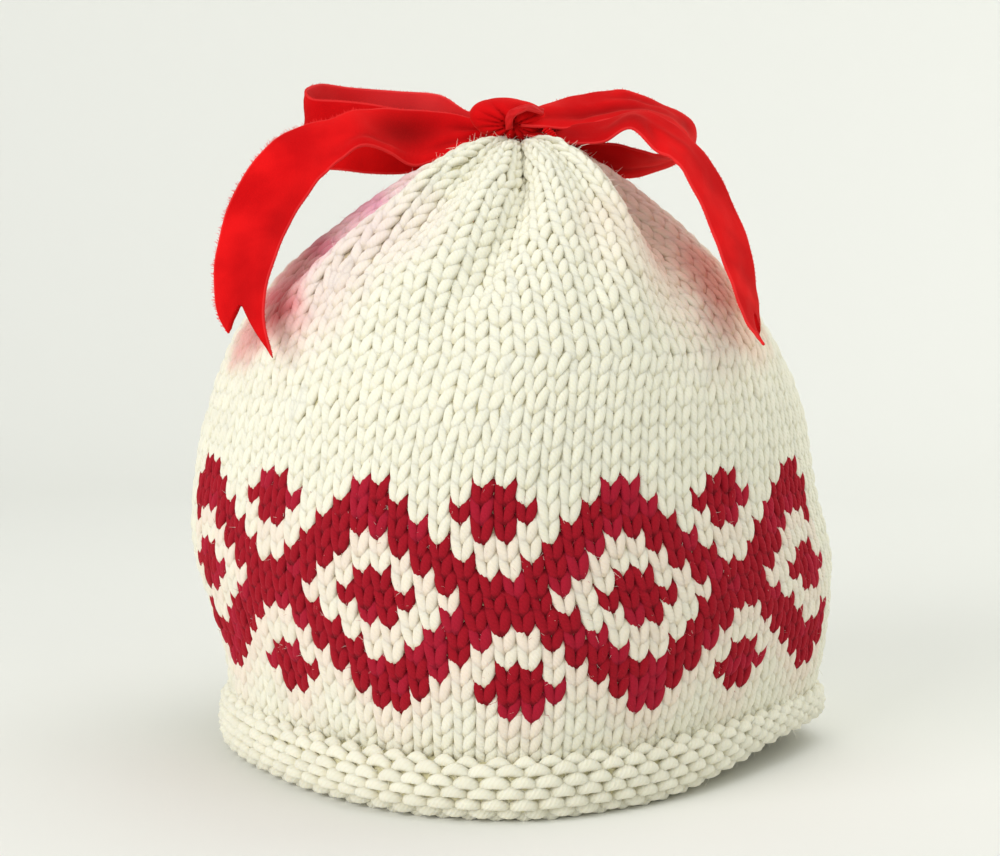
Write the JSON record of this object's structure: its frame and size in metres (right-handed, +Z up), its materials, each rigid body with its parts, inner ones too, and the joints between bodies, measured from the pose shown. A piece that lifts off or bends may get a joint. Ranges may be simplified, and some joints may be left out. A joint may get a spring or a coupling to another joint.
{
  "type": "tea cosy",
  "caption": "Hollow domed knitted cover with a rolled hem, an open gap in each side and a gathered crown tied with a ribbon bow; it keeps a hot drink warm.",
  "frame": {"origin": "middle of the bounding box in plan, on the ground under the hem", "axes": "+Z up, -Y out of the front that carries the pattern, +X to the right of a viewer who faces the front"},
  "size_m": [0.177, 0.1576, 0.1837],
  "materials": {
    "cream_wool": "hand-knitted wool, matt and slightly fuzzy, with a crimson pattern knitted into the front",
    "scarlet_velvet": "velvet ribbon, short cut pile on its face and satin on its back"
  },
  "bodies": {
    "root": {"knitted_cosy": "cream_wool", "ribbon_bow": "scarlet_velvet"}
  },
  "joints": []
}
